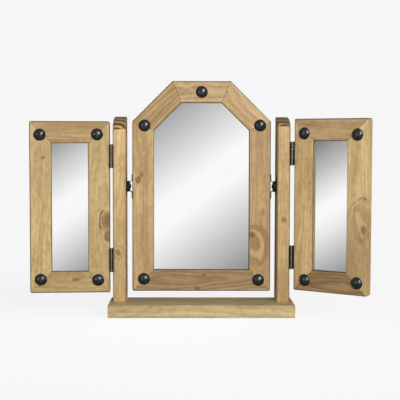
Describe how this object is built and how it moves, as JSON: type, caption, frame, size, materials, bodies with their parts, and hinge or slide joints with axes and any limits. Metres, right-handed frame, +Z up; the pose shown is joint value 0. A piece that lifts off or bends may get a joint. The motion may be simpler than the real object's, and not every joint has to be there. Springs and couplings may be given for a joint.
{
  "type": "trifold vanity mirror",
  "caption": "Free-standing trifold dressing-table mirror: a tilting clipped-corner mirror between posts on a base board, with hinged wing mirrors, in waxed pine with dark studs.",
  "frame": {"origin": "middle of the base board's underside", "axes": "+X to the right as seen from the front, +Y to the back, +Z up; the mirrors face -Y"},
  "size_m": [0.722, 0.1572, 0.5061],
  "materials": {
    "pine": "waxed, satin, warm antique pine",
    "mirror_glass": "silvered flat glass",
    "backing_board": "plain brown hardboard",
    "stud_iron": "dark, lightly hammered, semi-gloss",
    "black_steel": "blackened steel",
    "bright_steel": "plain zinc-plated steel"
  },
  "bodies": {
    "stand": {"base_board": "pine", "base_screws": "bright_steel", "left_lower_hinge_pin": "black_steel", "left_lower_hinge_post_leaf": "black_steel", "left_post": "pine", "left_upper_hinge_pin": "black_steel", "left_upper_hinge_post_leaf": "black_steel", "pivot_discs": "black_steel", "pivot_pins": "black_steel", "pivot_plate_screws": "black_steel", "pivot_plates": "black_steel", "post_hinge_screws": "black_steel", "right_lower_hinge_pin": "black_steel", "right_lower_hinge_post_leaf": "black_steel", "right_post": "pine", "right_upper_hinge_pin": "black_steel", "right_upper_hinge_post_leaf": "black_steel"},
    "centre_mirror": {"centre_back_board": "backing_board", "centre_bottom_rail": "pine", "centre_glass": "mirror_glass", "centre_left_shoulder": "pine", "centre_left_stile": "pine", "centre_retaining_points": "bright_steel", "centre_right_shoulder": "pine", "centre_right_stile": "pine", "centre_studs": "stud_iron", "centre_top_rail": "pine", "left_pivot_strap": "black_steel", "pivot_strap_screws": "black_steel", "right_pivot_strap": "black_steel"},
    "left_wing": {"left_lower_hinge_wing_leaf": "black_steel", "left_upper_hinge_wing_leaf": "black_steel", "left_wing_back_board": "backing_board", "left_wing_bottom_rail": "pine", "left_wing_glass": "mirror_glass", "left_wing_hinge_screws": "black_steel", "left_wing_inner_stile": "pine", "left_wing_outer_stile": "pine", "left_wing_retaining_points": "bright_steel", "left_wing_studs": "stud_iron", "left_wing_top_rail": "pine"},
    "right_wing": {"right_lower_hinge_wing_leaf": "black_steel", "right_upper_hinge_wing_leaf": "black_steel", "right_wing_back_board": "backing_board", "right_wing_bottom_rail": "pine", "right_wing_glass": "mirror_glass", "right_wing_hinge_screws": "black_steel", "right_wing_inner_stile": "pine", "right_wing_outer_stile": "pine", "right_wing_retaining_points": "bright_steel", "right_wing_studs": "stud_iron", "right_wing_top_rail": "pine"}
  },
  "joints": [
    {"name": "centre_tilt", "type": "hinge", "parent": "stand", "child": "centre_mirror", "pos_m": [0, 0.0085, 0.2785], "axis": [1, 0, 0], "range_deg": [-33.7, 36.3]},
    {"name": "left_wing_swing", "type": "hinge", "parent": "stand", "child": "left_wing", "pos_m": [-0.1942, -0.0135, 0.2336], "axis": [0, 0, 1], "range_deg": [-3.8, 101.2]},
    {"name": "right_wing_swing", "type": "hinge", "parent": "stand", "child": "right_wing", "pos_m": [0.1942, -0.0135, 0.2401], "axis": [0, 0, -1], "range_deg": [-34.2, 70.8]}
  ]
}
